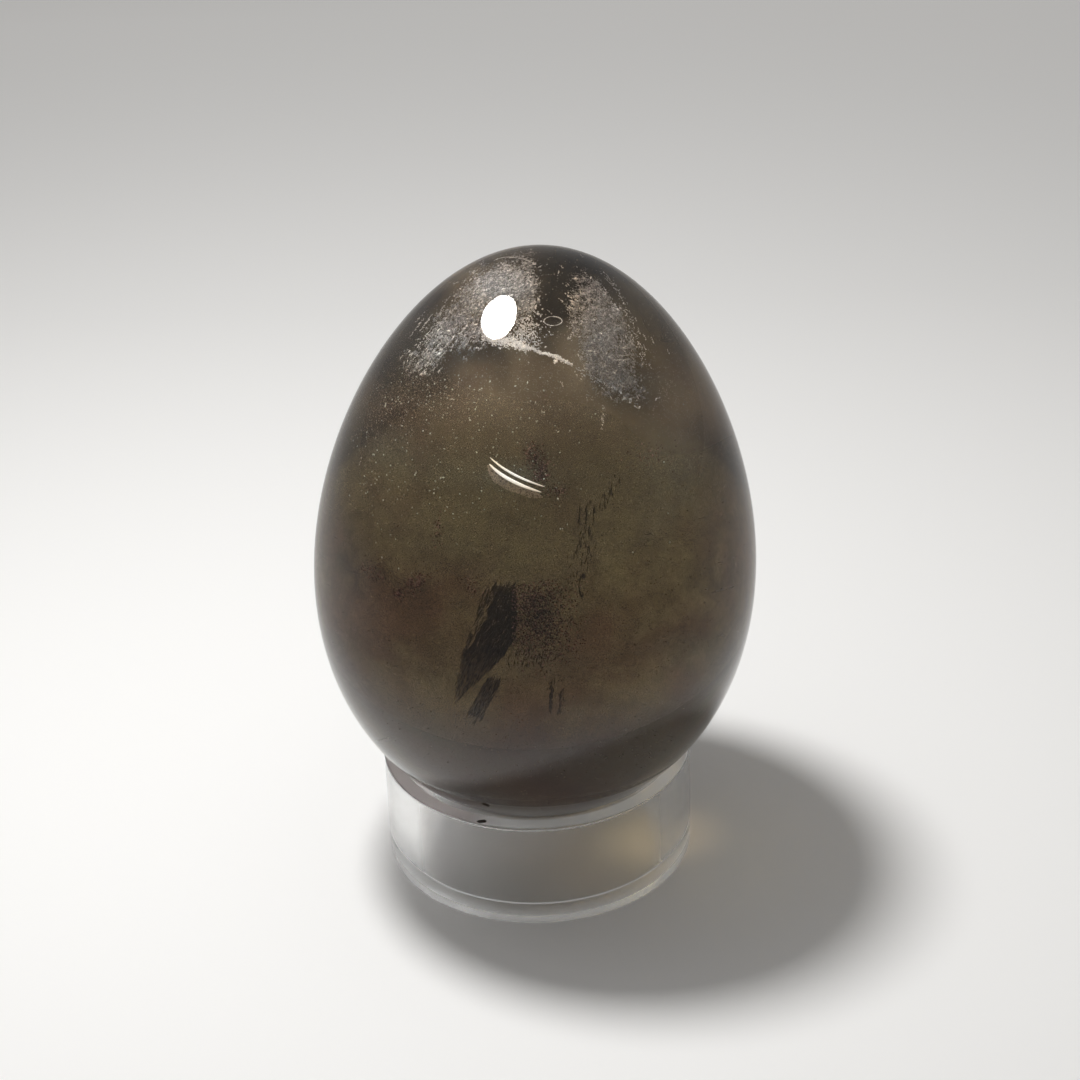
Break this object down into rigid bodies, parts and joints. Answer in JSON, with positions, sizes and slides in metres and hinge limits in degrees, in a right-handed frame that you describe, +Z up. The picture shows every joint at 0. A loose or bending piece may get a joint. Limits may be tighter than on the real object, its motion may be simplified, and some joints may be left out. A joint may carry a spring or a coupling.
{
  "type": "stone egg on stand",
  "caption": "Solid polished smoky quartz egg resting blunt end down in a short clear acrylic ring, from which it lifts out.",
  "frame": {"origin": "on the surface the ring stands on, at the middle of the ring, which is under the middle of the whole part to within half a millimetre", "axes": "+Z up through the ring and the egg, -Y towards the side that the picture shows, +X towards the side that the egg leans to"},
  "size_m": [0.0415, 0.0414, 0.0619],
  "materials": {
    "smoky_quartz": "polished",
    "clear_acrylic": "polished"
  },
  "bodies": {
    "stand": {"ring_stand": "clear_acrylic"},
    "egg": {"quartz_egg": "smoky_quartz"}
  },
  "joints": [
    {"name": "egg_lift", "type": "slide", "parent": "stand", "child": "egg", "axis": [0, 0, 1], "range_m": [0, 0.04]}
  ]
}
